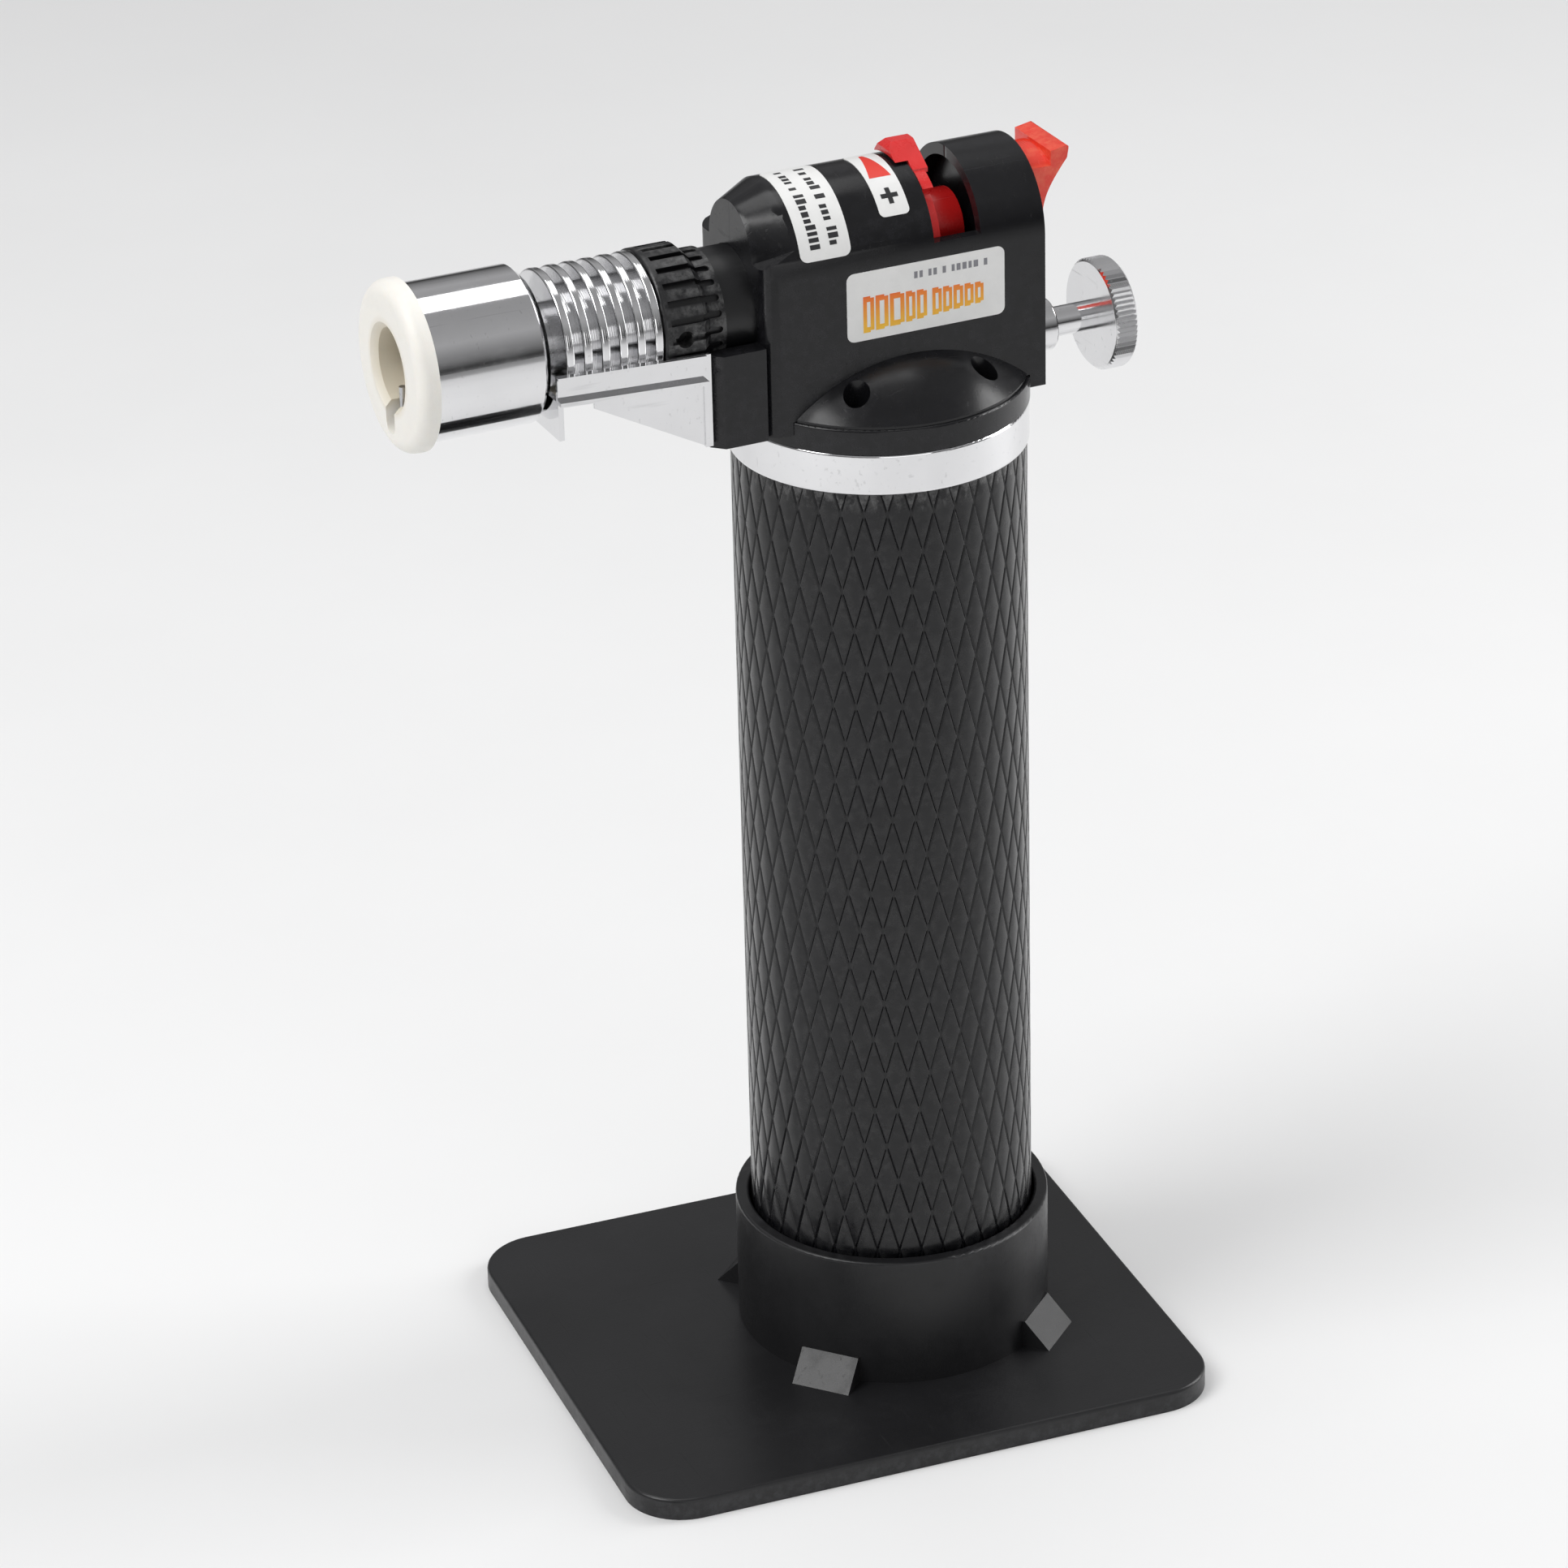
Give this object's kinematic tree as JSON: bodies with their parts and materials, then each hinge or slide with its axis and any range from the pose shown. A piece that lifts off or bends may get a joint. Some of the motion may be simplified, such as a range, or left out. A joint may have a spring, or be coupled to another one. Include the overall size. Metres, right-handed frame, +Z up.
{
  "type": "butane torch",
  "caption": "Upright refillable butane torch with a knurled tank, horizontal flame barrel, thumb igniter, flame dial and gas knob, in a moulded stand.",
  "frame": {"origin": "middle of the stand's underside below the tank's axis", "axes": "+Z up along the tank, -X towards the flame, +X towards the gas knob, -Y towards the sticker side"},
  "size_m": [0.1015, 0.0774, 0.1712],
  "materials": {
    "stand_plastic": "satin moulded",
    "knurled_tube": "black anodised, knurled",
    "black_plastic": "satin moulded",
    "seal_rubber": "matte",
    "brass": "machined",
    "steel": "plain wire and screws",
    "clear_plastic": "translucent",
    "chrome": "polished",
    "black_metal": "black anodised",
    "ceramic": "unglazed",
    "lead_cover": "smooth",
    "piezo_plastic": "moulded",
    "button_plastic": "glossy orange-red",
    "dial_plastic": "glossy crimson",
    "label_paper": "printed film",
    "sticker_paper": "printed film"
  },
  "bodies": {
    "stand": {"stand": "stand_plastic"},
    "torch": {"tank_tube": "knurled_tube", "base_cap": "black_plastic", "base_seal": "seal_rubber", "fill_valve_body": "brass", "fill_valve_spring": "steel", "top_plug": "black_plastic", "top_seal": "seal_rubber", "dip_tube": "clear_plastic", "collar_ring": "chrome", "head_flange": "black_plastic", "flange_screws": "steel", "housing_near": "black_plastic", "housing_far": "black_plastic", "housing_screws": "steel", "valve_body": "brass", "valve_seal": "seal_rubber", "gas_tube": "steel", "regulator_body": "brass", "gas_jet": "brass", "needle_bush": "chrome", "barrel_tube": "black_metal", "mixing_tube": "steel", "heat_sink": "chrome", "flame_holder": "brass", "flame_sleeve": "chrome", "ceramic_ring": "ceramic", "electrode": "steel", "electrode_insulator": "ceramic", "ignition_lead": "lead_cover", "electrode_guard": "chrome", "guard_screws": "steel", "piezo_body": "piezo_plastic", "label_front": "label_paper", "label_flame": "label_paper", "side_sticker": "sticker_paper"},
    "igniter_button": {"igniter_button": "button_plastic"},
    "piezo_plunger": {"piezo_plunger": "piezo_plastic"},
    "flame_dial": {"flame_dial": "dial_plastic", "regulator_spindle": "brass"},
    "gas_knob": {"gas_knob": "chrome", "needle_spindle": "chrome"},
    "air_collar": {"air_collar": "black_metal"},
    "fill_valve_stem": {"fill_valve_stem": "brass"}
  },
  "joints": [
    {"name": "lift_out", "type": "slide", "parent": "stand", "child": "torch", "axis": [0, 0, 1], "range_m": [0, 0.04]},
    {"name": "button_press", "type": "slide", "parent": "torch", "child": "igniter_button", "axis": [-1, 0, 0], "range_m": [0, 0.0035], "stiffness_N_per_m": 1500, "springref_m": -0.001},
    {"name": "plunger_press", "type": "slide", "parent": "torch", "child": "piezo_plunger", "axis": [-1, 0, 0], "range_m": [0, 0.0035]},
    {"name": "dial_turn", "type": "hinge", "parent": "torch", "child": "flame_dial", "pos_m": [0.0044, 0, 0.1592], "axis": [1, 0, 0], "range_deg": [-35, 35]},
    {"name": "knob_turn", "type": "hinge", "parent": "torch", "child": "gas_knob", "pos_m": [0.0306, 0, 0.1427], "axis": [1, 0, 0], "range_deg": [0, 540]},
    {"name": "collar_turn", "type": "hinge", "parent": "torch", "child": "air_collar", "pos_m": [-0.028, 0, 0.15405], "axis": [1, 0, 0], "range_deg": [0, 30]},
    {"name": "fill_press", "type": "slide", "parent": "torch", "child": "fill_valve_stem", "axis": [0, 0, 1], "range_m": [0, 0.0015], "stiffness_N_per_m": 800, "springref_m": -0.0005, "deforming": ["fill_valve_spring"]}
  ],
  "couplings": [
    {"joint": "plunger_press", "follows": "button_press", "ratio": 1}
  ]
}
